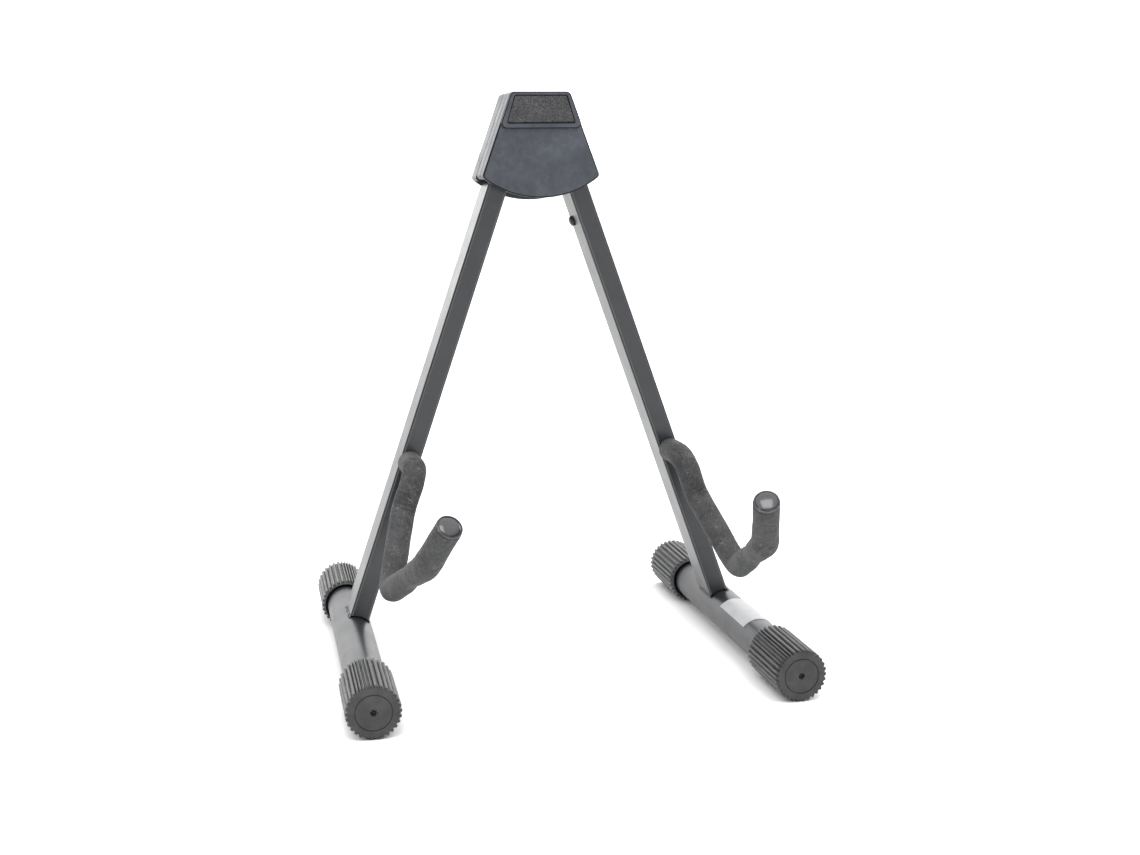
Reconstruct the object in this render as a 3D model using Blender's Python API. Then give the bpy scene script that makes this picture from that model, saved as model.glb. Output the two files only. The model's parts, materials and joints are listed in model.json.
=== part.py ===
"""Folding A-frame guitar stand, built from its separate pieces.

Metres, +Z up, front of the stand towards -Y, left means -X. The stand is open and stands on its four ribbed
caps. The two legs lie in one plane, the A-plane, which leans back a little. Positions in it are written as
(x, u, n): x across, u up the plane from the level of the foot tubes, n out of it towards the front.
"""

import math

import bmesh
import bpy
from mathutils import Matrix, Vector

for old in list(bpy.data.objects):
    bpy.data.objects.remove(old, do_unlink=True)

MM = 0.001

# ---- driving dimensions, in millimetres and degrees -------------------------------------------------------
LEAN = 1.9  # the A-plane leans back by this
SPREAD = 19.23  # each leg from the middle line, open
TOE_OUT = 1.0  # each foot tube turns out towards the front
FOOT_X = 126.2  # middle line to foot tube axis
LEG_Y = 46.9  # depth of the leg's foot joint; centres the stand on Y

LEG_W, LEG_D, LEG_WALL, LEG_CORNER = 12.8, 27.3, 1.2, 1.5  # rectangular leg tube
FOOT_R, FOOT_WALL = 12.5, 1.5
FOOT_FRONT, FOOT_BACK = 153.0, 108.0  # joint to the outer face of each end cap
CAP_R, CAP_ROOT_R, CAP_LENGTH, CAP_END = 16.4, 15.0, 52.0, 5.0
RIB_PITCH, FINE_PITCH = 12.0, 7.2  # degrees that each rib takes; five fine ribs fill the room of three
FINE_RIBS, FINE_AFTER = 5, {-1: 12, 1: 10}  # fine ribs, and the wide ones before them from the bottom
RIB_TOP, RIB_FOOT = 0.22, 0.40  # half widths of a rib, as shares of its pitch
CAP_FIT = 0.15  # rubber bore over the foot tube, radial
CAP_LIP_R, CAP_LIP, CAP_SOFT = 14.7, 1.3, 0.6
CAP_GROOVE, CAP_GROOVE_DEPTH = (10.4, 10.9), 0.4  # the ring moulded in the end face

PIVOT_U = 331.0  # pivot height in the A-plane
LEG_OVER = 8.0  # leg tube beyond its pivot
BOLT_R, BOLT_HOLE_R, BOLT_HEAD_R, BOLT_HEAD = 2.5, 2.75, 4.75, 2.75
BUSH_R, BUSH_BORE_R, BUSH_OVER = 4.0, 2.58, 0.08
WASHER_R, WASHER = 5.0, 1.1
NUT_R, NUT_BORE_R, NUT_N = 4.6, 2.57, (19.4, 23.4)  # across corners; its two faces
BOLT_END_N = 23.4

HEAD_TOP_U, HEAD_TOP_X = 346.2, 19.0
HEAD_LOW_U, HEAD_LOW_X = 293.6, 38.05
ARC_R = 61.0  # the rounded bottom edge, and its lowest points on the two shells
ARC_U_FRONT, ARC_U_REAR = 280.0, 278.3
HEAD_REAR_N, SEAM_N, PLATE_N, BEZEL_N = -15.8, 1.0, 24.5, 26.3
SEAM_GAP, HEAD_WALL, REAR_WALL, PLATE_WALL, TOP_WALL = 0.3, 2.3, 1.9, 3.0, 2.9
HEAD_SOFT, BEZEL_SOFT, BEZEL_CORNER, BEZEL_IN = 1.2, 0.9, 2.2, 0.25
BEZEL_U = 323.2
PAD_TOP = (16.4, 343.6)  # corners of the pad as (x, u)
PAD_BOTTOM = (21.9, 326.6)
RECESS_N, PAD_N, PAD_FIT, PAD_SOFT = 23.6, 25.9, 0.45, 0.5
BOSS_R, POST_R, POST_SPLIT_N = 6.6, 3.5, -8.0
SCREW_U, SCREW_R, SCREW_HEAD_R, SCREW_HEAD, SCREW_END_N = 292.0, 1.45, 3.3, 2.3, 6.5
STOP_U = (298.0, 316.0)  # the ribs that the legs open against
STOP_GAP = 0.3

# corners of the arm's middle line as (n, along the leg), and the radius of each bend
ARM_PATH = [(14.4, 118.7), (47.1, 119.1), (44.2, 93.2), (87.8, 50.1), (168.7, 87.2), (196.4, 116.4)]
ARM_BENDS = [12.0, 13.2, 15.0, 11.5]
ARM_LONGER = {-1: -1.2, 1: 5.3}  # the right arm ends a little further on
ARM_OUT = 0.46  # each arm turns outwards on its leg
ROD_R, SLEEVE_R, SLEEVE_BORE_R, ROD_SHORT = 3.0, 7.65, 3.35, 7.0
TIP_R, TIP_HEIGHT = 7.45, 1.9

WELD_R = 1.3  # a bead along each side of the leg's foot
WELD_X, WELD_Z = LEG_W / 2 + 0.2, 10.9
COPE_GAP = 0.15

BUMPER_T, BUMPER_Y, BUMPER_R, BUMPER_HEIGHT, BUMPER_STEM_R = 282.0, 7.0, 3.4, 2.55, 1.4
LABEL_FROM, LABEL_TO = 33.0, 78.5  # along the foot tube, in front of the joint
LABEL_ANGLES = (-52, 80)  # round the tube, from the top outwards
LABEL_INNER_R, LABEL_OUTER_R = 12.6, 12.85

# ---- frames -----------------------------------------------------------------------------------------------
lean, spread = math.radians(LEAN), math.radians(SPREAD)
N = Vector((0, -math.cos(lean), math.sin(lean)))
U = Vector((0, math.sin(lean), math.cos(lean)))
FOOT_Z = CAP_R * math.cos(math.radians((0.5 - RIB_TOP) * RIB_PITCH))  # it stands on the two lowest ribs
ORIGIN = Vector((0, LEG_Y, FOOT_Z))


def basis(origin, x, y, z):
    """4x4 matrix with these columns, from millimetres to metres."""
    rows = Matrix((x, y, z)).transposed().to_4x4()
    return Matrix.Translation(Vector(origin) * MM) @ rows @ Matrix.Scale(MM, 4)


HEAD_FRAME = basis(ORIGIN, Vector((1, 0, 0)), U, N)  # (x, u, n)


def leg_frame(side):
    """Z up the leg, Y towards the back, X across it to the right."""
    up = U * math.cos(spread) - Vector((side * math.sin(spread), 0, 0))
    return basis(ORIGIN + Vector((side * FOOT_X, 0, 0)), (-N).cross(up), -N, up)


def foot_frame(side):
    """Z forward along the foot tube, Y up."""
    toe = math.radians(TOE_OUT)
    forward = Vector((side * math.sin(toe), -math.cos(toe), 0))
    up = Vector((0, 0, 1))
    return basis(ORIGIN + Vector((side * FOOT_X, 0, 0)), up.cross(forward), up, forward)


def arm_frame(side):
    """The leg's frame turned a little outwards, for the arm."""
    return leg_frame(side) @ Matrix.Rotation(side * math.radians(ARM_OUT), 4, "Z")


def pivot_frame(side):
    """Z along the pivot bolt, towards the back, from the leg's middle."""
    return leg_frame(side) @ Matrix.Translation((0, 0, PIVOT_T)) @ Matrix.Rotation(math.pi / 2, 4, "X")


def along_n(x, u):
    """A frame whose Z runs along N, for what stands on the A-plane at (x, u)."""
    return HEAD_FRAME @ Matrix.Translation((x, u, 0))


PIVOT_T = PIVOT_U / math.cos(spread)
PIVOT_X = FOOT_X - PIVOT_T * math.sin(spread)
CENTRE = HEAD_FRAME @ Vector((0, PIVOT_U, 0))
PIVOT = {side: HEAD_FRAME @ Vector((side * PIVOT_X, PIVOT_U, 0)) for side in (-1, 1)}
SIDES = ((-1, "left"), (1, "right"))

# ---- building helpers -------------------------------------------------------------------------------------
FINISHES = {
    "powder_black": ((0.030, 0.031, 0.034), 0.45, 0.0),
    "head_plastic": ((0.045, 0.047, 0.052), 0.42, 0.0),
    "pad_rubber": ((0.040, 0.040, 0.042), 0.85, 0.0),
    "cap_rubber": ((0.028, 0.028, 0.030), 0.70, 0.0),
    "sleeve_foam": ((0.045, 0.046, 0.048), 0.95, 0.0),
    "tip_plastic": ((0.025, 0.026, 0.030), 0.20, 0.0),
    "zinc_steel": ((0.55, 0.56, 0.58), 0.35, 1.0),
    "nylon": ((0.70, 0.69, 0.66), 0.50, 0.0),
    "label_paper": ((0.75, 0.76, 0.78), 0.60, 0.0),
}


def material(name):
    found = bpy.data.materials.get(name)
    if found:
        return found
    colour, roughness, metallic = FINISHES[name]
    made = bpy.data.materials.new(name)
    made.use_nodes = True
    shader = made.node_tree.nodes["Principled BSDF"]
    shader.inputs["Base Color"].default_value = (*colour, 1)
    shader.inputs["Roughness"].default_value = roughness
    shader.inputs["Metallic"].default_value = metallic
    return made


def add(name, rings, frame, finish=None, origin=CENTRE, wrap=False):
    """An object lofted through rings. With wrap the last ring joins the first, or else the ends are capped."""
    mesh = bpy.data.meshes.new(name)
    bm = bmesh.new()
    made = [[bm.verts.new(frame @ Vector(p) - origin) for p in ring] for ring in rings]
    pairs = list(zip(made, made[1:] + made[:1])) if wrap else list(zip(made, made[1:]))
    for low, high in pairs:
        for i in range(len(low)):
            j = (i + 1) % len(low)
            bm.faces.new((low[i], low[j], high[j], high[i]))
    if not wrap:
        bm.faces.new(made[0])
        bm.faces.new(made[-1])
    bmesh.ops.recalc_face_normals(bm, faces=bm.faces)
    bm.to_mesh(mesh)
    bm.free()
    made_object = bpy.data.objects.new(name, mesh)
    made_object.location = origin
    bpy.context.scene.collection.objects.link(made_object)
    if finish:
        mesh.materials.append(material(finish))
        mesh.shade_smooth()
        mesh.set_sharp_from_angle(angle=math.radians(32))
    else:
        made_object.hide_render = True
        made_object.display_type = "WIRE"
    return made_object


def combine(target, other, operation):
    step = target.modifiers.new(f"{operation.lower()} {other.name}", "BOOLEAN")
    step.operation = operation
    step.solver = "EXACT"
    step.object = other


def cut(target, name, rings, frame):
    combine(target, add(f"{target.name}.{name}", rings, frame, origin=target.location.copy()), "DIFFERENCE")


def join(target, name, rings, frame):
    combine(target, add(f"{target.name}.{name}", rings, frame, origin=target.location.copy()), "UNION")


def circle(radius, z, sides, phase=0.0):
    turns = [2 * math.pi * (i + phase) / sides for i in range(sides)]
    return [(radius * math.cos(a), radius * math.sin(a), z) for a in turns]


def turned(profile, sides):
    """Rings from a lathe profile of (radius, z)."""
    return [circle(radius, z, sides) for radius, z in profile]


def flat(points, z):
    return [(x, y, z) for x, y in points]


def rounded(corners, steps=3):
    """A closed outline through (x, y, radius) corners."""
    outline = []
    for i, (x, y, radius) in enumerate(corners):
        here = Vector((x, y))
        if not radius:
            outline.append((x, y))
            continue
        before = (Vector(corners[i - 1][:2]) - here).normalized()
        after = (Vector(corners[(i + 1) % len(corners)][:2]) - here).normalized()
        half = before.angle(after) / 2
        centre = here + (before + after).normalized() * radius / math.sin(half)
        start = here + before * radius / math.tan(half) - centre
        turn = math.atan2(*(centre - here).yx)
        sweep = math.pi / 2 - half
        side = 1 if start.cross(here - centre) > 0 else -1
        for k in range(steps + 1):
            angle = turn + math.pi + side * sweep * (2 * k / steps - 1)
            outline.append((centre.x + radius * math.cos(angle), centre.y + radius * math.sin(angle)))
    return outline


def rectangle(width, depth, radius, steps=3):
    w, d = width / 2, depth / 2
    return rounded([(-w, -d, radius), (w, -d, radius), (w, d, radius), (-w, d, radius)], steps)


# ---- the head ---------------------------------------------------------------------------------------------
EDGE = (HEAD_LOW_X - HEAD_TOP_X) / (HEAD_LOW_U - HEAD_TOP_U)  # dx/du of the head's side
SLANT = math.hypot(1, EDGE)


def head_side(u, inset=0.0):
    return HEAD_TOP_X + EDGE * (u - HEAD_TOP_U) - inset * SLANT


def head_outline(inset, arc_u, corner=2.6):
    """The head from the front: straight flaring sides, flat top, rounded bottom edge."""
    centre_u, radius = arc_u + ARC_R, ARC_R - inset
    top = HEAD_TOP_U - inset
    low, high = arc_u, HEAD_TOP_U
    for _ in range(50):  # where the side meets the rounded bottom edge
        u = (low + high) / 2
        outside = math.hypot(head_side(u, inset), u - centre_u) > radius
        low, high = (u, high) if outside else (low, u)
    end = math.atan2(head_side(low, inset), centre_u - low)
    soft = max(corner - inset, 0.5)
    corners = [(head_side(top, inset), top, soft), (head_side(low, inset), low, soft * 0.8)]
    for k in range(1, 14):
        angle = end * (1 - 2 * k / 14)
        corners.append((radius * math.sin(angle), centre_u - radius * math.cos(angle), 0))
    corners += [(-head_side(low, inset), low, soft * 0.8), (-head_side(top, inset), top, soft)]
    return rounded(corners, 4)


def side_trapezoid(inset, low_u, high_u, radius=0.0):
    return rounded([
        (head_side(high_u, inset), high_u, radius), (head_side(low_u, inset), low_u, radius),
        (-head_side(low_u, inset), low_u, radius), (-head_side(high_u, inset), high_u, radius),
    ], 3)


def pad_outline(grow, radius):
    (x1, u1), (x0, u0) = PAD_TOP, PAD_BOTTOM
    return rounded([
        (x1 + grow, u1 + grow, radius), (x0 + grow, u0 - grow, radius),
        (-x0 - grow, u0 - grow, radius), (-x1 - grow, u1 + grow, radius),
    ], 3)


def soft_end(outline, face_n, inward, soft):
    """Rings that round an extruded outline off at its face."""
    quarter = ((0, 1), (0.13, 0.5), (0.5, 0.13), (1, 0))
    return [flat(outline(d * soft), face_n + inward * z * soft) for d, z in quarter]


def bezel_outline(inset):
    return side_trapezoid(BEZEL_IN + inset, BEZEL_U + inset, HEAD_TOP_U - BEZEL_IN - inset, BEZEL_CORNER)


def front_outline(inset):
    return head_outline(inset, ARC_U_FRONT)


def rear_outline(inset):
    return head_outline(inset, ARC_U_REAR)


BEYOND = 10.0  # cutters reach this far past what they cut
HOLLOW = side_trapezoid(HEAD_WALL, ARC_U_REAR - 2 * BEYOND, HEAD_TOP_U - TOP_WALL)
POST = along_n(0, SCREW_U)
INNER_N = PLATE_N - PLATE_WALL


def front_shell():
    rings = [flat(front_outline(0), SEAM_N + SEAM_GAP)] + soft_end(front_outline, PLATE_N, -1, HEAD_SOFT)
    shell = add("head_front_shell", rings, HEAD_FRAME, "head_plastic")
    bezel = [flat(bezel_outline(0), INNER_N - 1)] + soft_end(bezel_outline, BEZEL_N, -1, BEZEL_SOFT)
    join(shell, "bezel", bezel, HEAD_FRAME)
    cut(shell, "hollow", [flat(HOLLOW, SEAM_N - BEYOND), flat(HOLLOW, INNER_N)], HEAD_FRAME)
    cut(shell, "recess", [flat(pad_outline(PAD_FIT, 1.2), z) for z in (RECESS_N, PAD_N + BEYOND)], HEAD_FRAME)
    for side, name in SIDES:
        at = along_n(side * PIVOT_X, PIVOT_U)
        join(shell, f"boss_{name}", turned([(BOSS_R, LEG_D / 2 + 0.35), (BOSS_R, INNER_N + 1)], 32), at)
        cut(shell, f"bolt_hole_{name}", turned([(BOLT_HOLE_R, 0), (BOLT_HOLE_R, PAD_N + BEYOND)], 24), at)
        pocket = [circle(NUT_R + 0.25, z, 6) for z in (NUT_N[0] - 0.1, PAD_N + BEYOND)]
        cut(shell, f"nut_pocket_{name}", pocket, at)
    join(shell, "post", turned([(POST_R, POST_SPLIT_N), (POST_R, INNER_N + 1)], 24), POST)
    hole_r = SCREW_R + 0.15
    cut(shell, "post_hole", turned([(hole_r, POST_SPLIT_N - 4), (hole_r, SCREW_END_N + 1.5)], 16), POST)


def rear_shell():
    rings = soft_end(rear_outline, HEAD_REAR_N, 1, HEAD_SOFT)[::-1] + [flat(rear_outline(0), SEAM_N)]
    shell = add("head_rear_shell", rings, HEAD_FRAME, "head_plastic")
    cut(shell, "hollow", [flat(HOLLOW, HEAD_REAR_N + REAR_WALL), flat(HOLLOW, SEAM_N + BEYOND)], HEAD_FRAME)
    low, high = STOP_U
    for side, name in SIDES:
        inner = [FOOT_X - u * math.tan(spread) + (LEG_W / 2 + STOP_GAP) / math.cos(spread) for u in STOP_U]
        rib = [(side * inner[0], low), (side * inner[1], high),
               (side * head_side(high, HEAD_WALL / 2), high), (side * head_side(low, HEAD_WALL / 2), low)]
        join(shell, f"leg_stop_{name}", [flat(rib, HEAD_REAR_N + 1), flat(rib, SEAM_N - 0.4)], HEAD_FRAME)
        hole = turned([(BOLT_HOLE_R, HEAD_REAR_N - BEYOND), (BOLT_HOLE_R, HEAD_REAR_N + BEYOND)], 24)
        cut(shell, f"bolt_hole_{name}", hole, along_n(side * PIVOT_X, PIVOT_U))
    join(shell, "post", turned([(POST_R, HEAD_REAR_N + 0.8), (POST_R, POST_SPLIT_N - 0.3)], 24), POST)
    hole_r = SCREW_R + 0.45
    cut(shell, "post_hole", turned([(hole_r, HEAD_REAR_N - BEYOND), (hole_r, POST_SPLIT_N + 3)], 16), POST)


def pad():
    rings = [flat(pad_outline(0, 1.0), RECESS_N + 0.1), flat(pad_outline(0, 1.0), PAD_N - PAD_SOFT),
             flat(pad_outline(-PAD_SOFT, 0.6), PAD_N)]
    add("head_pad", rings, HEAD_FRAME, "pad_rubber")


def pivot_bolt(side, name):
    at, under = along_n(side * PIVOT_X, PIVOT_U), HEAD_REAR_N - WASHER
    profile = [(BOLT_HEAD_R - 1.15, under - BOLT_HEAD), (BOLT_HEAD_R - 0.25, under - 2.0)]
    profile += [(BOLT_HEAD_R, under - 0.9), (BOLT_HEAD_R, under), (BOLT_R, under)]
    profile += [(BOLT_R, BOLT_END_N - 0.5), (BOLT_R - 0.5, BOLT_END_N)]
    bolt = add(f"pivot_bolt_{name}", turned(profile, 24), at, "zinc_steel", PIVOT[side])
    cut(bolt, "socket", [circle(1.75, z, 6) for z in (under - BEYOND, under - 1.3)], at)


def pivot_washer(side, name):
    low, high = HEAD_REAR_N - WASHER + 0.05, HEAD_REAR_N - 0.05
    profile = [(WASHER_R, low), (WASHER_R, high), (BOLT_HOLE_R, high), (BOLT_HOLE_R, low)]
    at = along_n(side * PIVOT_X, PIVOT_U)
    add(f"pivot_washer_{name}", turned(profile, 28), at, "zinc_steel", PIVOT[side], wrap=True)


def pivot_nut(side, name):
    corners = [Vector(p[:2]) for p in circle(NUT_R, 0, 6)]
    hexagon = [corners[i].lerp(corners[(i + 1) % 6], k / 4) for i in range(6) for k in range(4)]
    low, high = NUT_N
    rings = [flat(hexagon, low), flat(hexagon, high), circle(NUT_BORE_R, high, 24), circle(NUT_BORE_R, low, 24)]
    add(f"pivot_nut_{name}", rings, along_n(side * PIVOT_X, PIVOT_U), "zinc_steel", PIVOT[side], wrap=True)


def cover_screw():
    outer, inner = HEAD_REAR_N - SCREW_HEAD, HEAD_REAR_N - 0.05
    profile = [(1.8, outer), (SCREW_HEAD_R - 0.3, outer + 0.4), (SCREW_HEAD_R, outer + 1.3)]
    profile += [(SCREW_HEAD_R, inner), (SCREW_R, inner), (SCREW_R, SCREW_END_N - 2.5), (0.3, SCREW_END_N)]
    add("cover_screw", turned(profile, 20), POST, "zinc_steel")


# ---- the legs ---------------------------------------------------------------------------------------------
def arm_points(side):
    """The arm's middle line as (n, along) points, with its bends rounded."""
    line = [Vector(ARM_PATH[0])]
    for before, here, after, radius in zip(ARM_PATH, ARM_PATH[1:], ARM_PATH[2:], ARM_BENDS):
        a, b = (Vector(p) - Vector(here) for p in (before, after))
        half = a.angle(b) / 2
        reach = min(radius / math.tan(half), 0.49 * a.length, 0.49 * b.length)
        bend = reach * math.tan(half)
        centre = Vector(here) + (a.normalized() + b.normalized()).normalized() * bend / math.sin(half)
        start = Vector(here) + a.normalized() * reach - centre
        stop = Vector(here) + b.normalized() * reach - centre
        turn = start.angle_signed(stop)  # clockwise
        steps = max(2, math.ceil(abs(turn) / math.radians(16)))
        for k in range(steps + 1):
            line.append(centre + Matrix.Rotation(-turn * k / steps, 2) @ start)
    end = Vector(ARM_PATH[-1])
    line.append(end + (end - line[-1]).normalized() * ARM_LONGER[side])
    return line


def sweep(line, radius, sides):
    """Rings of this radius square to the line, which lies in the leg's middle plane."""
    rings = []
    for i, here in enumerate(line):
        ahead = (line[min(i + 1, len(line) - 1)] - line[max(i - 1, 0)]).normalized()
        out = Vector((-ahead.y, ahead.x))
        ring = []
        for x, y, _ in circle(radius, 0, sides):
            n, t = here + out * y
            ring.append((x, -n, t))
        rings.append(ring)
    return rings


def trimmed(line, length):
    """The line with this much taken off its far end."""
    last = (line[-1] - line[-2]).normalized()
    return line[:-1] + [line[-1] - last * length]


def rib_spans(side):
    """(middle, width) in degrees of each rib's share of the cap, starting at the groove at the bottom."""
    total = round(360 / RIB_PITCH) - round(FINE_RIBS * FINE_PITCH / RIB_PITCH)
    before = FINE_AFTER[side]
    widths = [RIB_PITCH] * before + [FINE_PITCH] * FINE_RIBS + [RIB_PITCH] * (total - before)
    spans, at = [], -90.0
    for width in widths:
        spans.append((at - width / 2, width))
        at -= width
    return spans


def ribbed(side, radius, root, z):
    ring = []
    for middle, width in rib_spans(side):
        for r, share in ((root, RIB_FOOT), (radius, RIB_TOP), (radius, -RIB_TOP), (root, -RIB_FOOT)):
            angle = math.radians(middle + width * share)
            ring.append((r * math.cos(angle), r * math.sin(angle), z))
    return ring


def cap(side, name, frame):
    """A ribbed rubber cap, its mouth at Z 0 and its closed end at Z = CAP_LENGTH."""
    pivot = PIVOT[side]
    rings = [ribbed(side, CAP_LIP_R, CAP_LIP_R, z) for z in (0, CAP_LIP)]
    rings += [ribbed(side, CAP_R, CAP_ROOT_R, z) for z in (CAP_LIP + 0.1, CAP_LENGTH - CAP_SOFT)]
    rings.append(ribbed(side, CAP_R - CAP_SOFT, CAP_ROOT_R - CAP_SOFT / 2, CAP_LENGTH))
    made = add(name, rings, frame, "cap_rubber", pivot)
    bore, mouth = FOOT_R + CAP_FIT, FOOT_R + CAP_FIT + 1.35
    inside = [(mouth, -2.0), (mouth, 3.0), (bore, 4.0), (bore, CAP_LENGTH - CAP_END)]
    cut(made, "bore", turned(inside, 48), frame)
    floor, above = CAP_LENGTH - CAP_GROOVE_DEPTH, CAP_LENGTH + BEYOND
    low, high = CAP_GROOVE
    groove = turned([(low, floor), (high, floor), (high, above), (low, above)], 48)
    combine(made, add(f"{name}.groove", groove, frame, origin=pivot, wrap=True), "DIFFERENCE")
    cut(made, "gate", turned([(0.4, CAP_LENGTH - 0.6), (1.2, CAP_LENGTH + 1)], 12), frame)


def leg_tube(side, name):
    at = leg_frame(side)
    top = PIVOT_T + LEG_OVER
    outer = rectangle(LEG_W, LEG_D, LEG_CORNER)
    inner = rectangle(LEG_W - 2 * LEG_WALL, LEG_D - 2 * LEG_WALL, 0.4)
    rings = [flat(outer, 0), flat(outer, top), flat(inner, top), flat(inner, 0)]
    tube = add(f"leg_tube_{name}", rings, at, "powder_black", PIVOT[side], wrap=True)
    end = LEG_D / 2 - 1.0
    bead = turned([(WELD_R - 0.5, -end), (WELD_R, 1.2 - end), (WELD_R, end - 1.2), (WELD_R - 0.5, end)], 16)
    for edge in (-1, 1):
        along = at @ Matrix.Translation((edge * WELD_X, 0, WELD_Z)) @ Matrix.Rotation(math.pi / 2, 4, "X")
        join(tube, "weld_in" if edge == -side else "weld_out", bead, along)
    cope = FOOT_R + COPE_GAP
    cut(tube, "cope", turned([(cope, -LEG_D - BEYOND), (cope, LEG_D + BEYOND)], 48), foot_frame(side))
    bush_hole = BUSH_R + 0.1
    cut(tube, "bush_hole", turned([(bush_hole, -LEG_D), (bush_hole, LEG_D)], 32), pivot_frame(side))
    weld_spot = Matrix.Translation((0, 0, ARM_PATH[0][1]))
    rod_way = arm_frame(side) @ weld_spot @ Matrix.Rotation(math.pi / 2, 4, "X")
    rod_hole = ROD_R + 0.3
    cut(tube, "rod_hole", turned([(rod_hole, 5), (rod_hole, LEG_D)], 24), rod_way)
    return tube


def foot_tube(side, name):
    back, front = -(FOOT_BACK - CAP_END - 0.3), FOOT_FRONT - CAP_END - 0.3
    bore = FOOT_R - FOOT_WALL
    profile = [(FOOT_R, back), (FOOT_R, front), (bore, front), (bore, back)]
    add(f"foot_tube_{name}", turned(profile, 48), foot_frame(side), "powder_black", PIVOT[side], wrap=True)


def pivot_bush(side, name):
    half = LEG_D / 2 + BUSH_OVER
    profile = [(BUSH_R, -half), (BUSH_R, half), (BUSH_BORE_R, half), (BUSH_BORE_R, -half)]
    add(f"pivot_bush_{name}", turned(profile, 32), pivot_frame(side), "nylon", PIVOT[side], wrap=True)


def arm(side, name):
    """The bent rod, the foam sleeve on it and the plug in its end."""
    line, at, pivot = arm_points(side), arm_frame(side), PIVOT[side]
    height = line[0].y
    inside_leg = [Vector((LEG_WALL + 0.2 - LEG_D / 2, height)), Vector((12.0, height))]
    add(f"arm_rod_{name}", sweep(inside_leg + trimmed(line, ROD_SHORT), ROD_R, 12), at, "zinc_steel", pivot)
    skin, bore = sweep(line, SLEEVE_R, 16), sweep(line, SLEEVE_BORE_R, 16)
    add(f"arm_sleeve_{name}", skin + bore[::-1], at, "sleeve_foam", pivot, wrap=True)

    end, back = Vector((0, -line[-1].x, line[-1].y)), line[-1] - line[-2]
    ahead = Vector((0, -back.x, back.y)).normalized()
    tip = at @ Matrix.Translation(end) @ ahead.to_track_quat("Z", "Y").to_matrix().to_4x4()
    stem = SLEEVE_BORE_R - 0.3
    profile = [(stem - 0.15, -6.5), (stem, -6.0), (stem, 0.2), (TIP_R - 0.1, 0.2), (TIP_R, 0.5)]
    profile += [(TIP_R * math.cos(math.radians(a)), 0.5 + (TIP_HEIGHT - 0.5) * math.sin(math.radians(a)))
                for a in (22, 44, 64, 82)]
    add(f"arm_tip_{name}", turned(profile, 24), tip, "tip_plastic", pivot)


def fold_bumper(tube):
    """The dome on the right leg's inner face, on a stem through the tube's wall."""
    inner_face = leg_frame(1) @ Matrix.Translation((-LEG_W / 2, BUMPER_Y, BUMPER_T))
    spot = inner_face @ Matrix.Rotation(-math.pi / 2, 4, "Y")
    stem, rim, peak = BUMPER_STEM_R, BUMPER_R, BUMPER_HEIGHT
    profile = [(stem - 0.5, -3.6), (stem, -3.0), (stem, 0.1), (rim, 0.1), (rim, 0.8), (rim - 0.5, peak - 0.85),
               (rim - 1.5, peak - 0.25), (0.8, peak)]
    add("fold_bumper", turned(profile, 24), spot, "cap_rubber", PIVOT[1])
    cut(tube, "bumper_hole", turned([(stem + 0.25, -4), (stem + 0.25, 4)], 20), spot)


def foot_label():
    first, last = LABEL_ANGLES
    angles = [math.radians(first + (last - first) * k / 22) for k in range(23)]
    sheet = [(LABEL_OUTER_R * math.sin(a), LABEL_OUTER_R * math.cos(a)) for a in angles]
    sheet += [(LABEL_INNER_R * math.sin(a), LABEL_INNER_R * math.cos(a)) for a in reversed(angles)]
    add("foot_label", [flat(sheet, LABEL_FROM), flat(sheet, LABEL_TO)], foot_frame(1), "label_paper", PIVOT[1])


front_shell()
rear_shell()
pad()
cover_screw()
for side, name in SIDES:
    pivot_bolt(side, name)
    pivot_washer(side, name)
    pivot_nut(side, name)
    tube = leg_tube(side, name)
    if side > 0:
        fold_bumper(tube)
    foot_tube(side, name)
    pivot_bush(side, name)
    forwards = Matrix.Translation((0, 0, FOOT_FRONT - CAP_LENGTH))
    cap(side, f"front_cap_{name}", foot_frame(side) @ forwards)
    backwards = Matrix.Translation((0, 0, CAP_LENGTH - FOOT_BACK)) @ Matrix.Rotation(math.pi, 4, "Y")
    cap(side, f"rear_cap_{name}", foot_frame(side) @ backwards)
    arm(side, name)
foot_label()
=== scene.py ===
"""Looks of the folding A-frame guitar stand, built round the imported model.

Sizes are in millimetres and degrees in the local frames below, and those frames turn them into the shared
frame's metres. Positions in the legs' plane, the A-plane, are (x, u, n): x across, u up the plane from the
level of the foot tubes, n out of it towards the front. A leg's own frame has Z up the leg and Y to the back.
"""

import json
import math

import bmesh
import bpy
from mathutils import Matrix, Vector, noise

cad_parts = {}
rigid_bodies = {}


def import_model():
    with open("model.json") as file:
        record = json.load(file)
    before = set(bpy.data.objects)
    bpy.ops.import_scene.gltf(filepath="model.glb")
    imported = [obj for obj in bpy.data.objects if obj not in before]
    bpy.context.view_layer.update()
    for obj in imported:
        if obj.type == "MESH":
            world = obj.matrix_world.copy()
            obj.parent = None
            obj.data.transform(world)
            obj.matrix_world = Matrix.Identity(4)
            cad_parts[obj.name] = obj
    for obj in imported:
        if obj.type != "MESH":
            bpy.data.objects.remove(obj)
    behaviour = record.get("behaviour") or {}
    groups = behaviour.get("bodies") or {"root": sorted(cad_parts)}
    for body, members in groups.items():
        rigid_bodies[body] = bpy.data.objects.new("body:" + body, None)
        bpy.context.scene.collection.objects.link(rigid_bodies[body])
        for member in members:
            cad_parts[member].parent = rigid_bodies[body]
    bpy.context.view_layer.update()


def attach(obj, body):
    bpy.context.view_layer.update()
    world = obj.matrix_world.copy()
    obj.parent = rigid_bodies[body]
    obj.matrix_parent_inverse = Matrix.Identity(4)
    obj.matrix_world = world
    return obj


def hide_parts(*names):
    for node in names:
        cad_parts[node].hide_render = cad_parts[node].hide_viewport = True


for old in list(bpy.data.objects):
    bpy.data.objects.remove(old, do_unlink=True)
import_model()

MM = 0.001
SIDES = ((-1, "left"), (1, "right"))

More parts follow.
